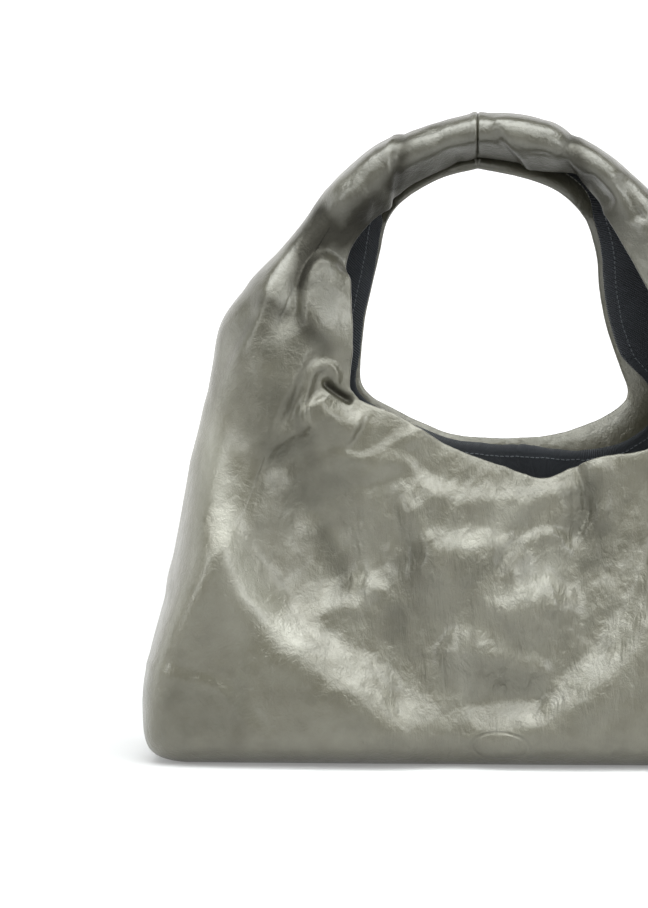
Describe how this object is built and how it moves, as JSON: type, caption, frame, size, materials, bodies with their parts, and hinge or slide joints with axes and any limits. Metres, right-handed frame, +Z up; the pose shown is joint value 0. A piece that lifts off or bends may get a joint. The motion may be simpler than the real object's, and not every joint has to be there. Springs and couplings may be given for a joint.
{
  "type": "hobo bag",
  "caption": "Soft leather hobo bag with its handle cut in one with the panels, twill lining, magnetic snap and a zipped inner pocket.",
  "frame": {"origin": "on the ground under the middle of the bag", "axes": "+X along the bag's width, to the right as seen from the front; the front faces -Y; +Z up"},
  "size_m": [0.4295, 0.132, 0.3968],
  "materials": {
    "leather": "fine grain with a pearly sheen",
    "twill": "fine diagonal weave",
    "webbing": "woven tape",
    "board": "plain fibreboard",
    "nickel": "satin nickel",
    "nylon": "satin nylon",
    "zip_tape": "fine woven tape"
  },
  "bodies": {
    "pouch": {"front_panel": "leather", "back_panel": "leather", "front_lining": "twill", "back_lining": "twill", "front_mouth_facing": "leather", "back_mouth_facing": "leather", "base_board": "board", "snap_stud": "nickel", "snap_socket": "nickel", "snap_washer_front": "nickel", "snap_washer_back": "nickel", "pocket_front": "twill", "pocket_top_strip": "twill", "zip_tape_upper": "zip_tape", "zip_tape_lower": "zip_tape", "zip_coil_upper": "nylon", "zip_coil_lower": "nylon", "zip_stop_closed_end": "nickel", "zip_stop_open_end": "nickel"},
    "handle": {"front_panel_left_arm": "leather", "front_panel_right_arm": "leather", "back_panel_left_arm": "leather", "back_panel_right_arm": "leather", "front_lining_left_arm": "twill", "front_lining_right_arm": "twill", "back_lining_left_arm": "twill", "back_lining_right_arm": "twill", "handle_tape": "webbing"},
    "slider": {"zip_slider": "nickel"},
    "pull": {"zip_pull": "nickel"}
  },
  "joints": [
    {"name": "handle_lean", "type": "hinge", "parent": "pouch", "child": "handle", "pos_m": [0, 0, 0.24], "axis": [1, 0, 0], "range_deg": [-20, 20]},
    {"name": "zip_slide", "type": "slide", "parent": "pouch", "child": "slider", "axis": [1, 0, 0], "range_m": [0, 0.132]},
    {"name": "zip_pull_swing", "type": "hinge", "parent": "slider", "child": "pull", "pos_m": [-0.066, 0.03487, 0.11936], "axis": [0, 0.1525, -0.9883], "range_deg": [0, 170]}
  ]
}
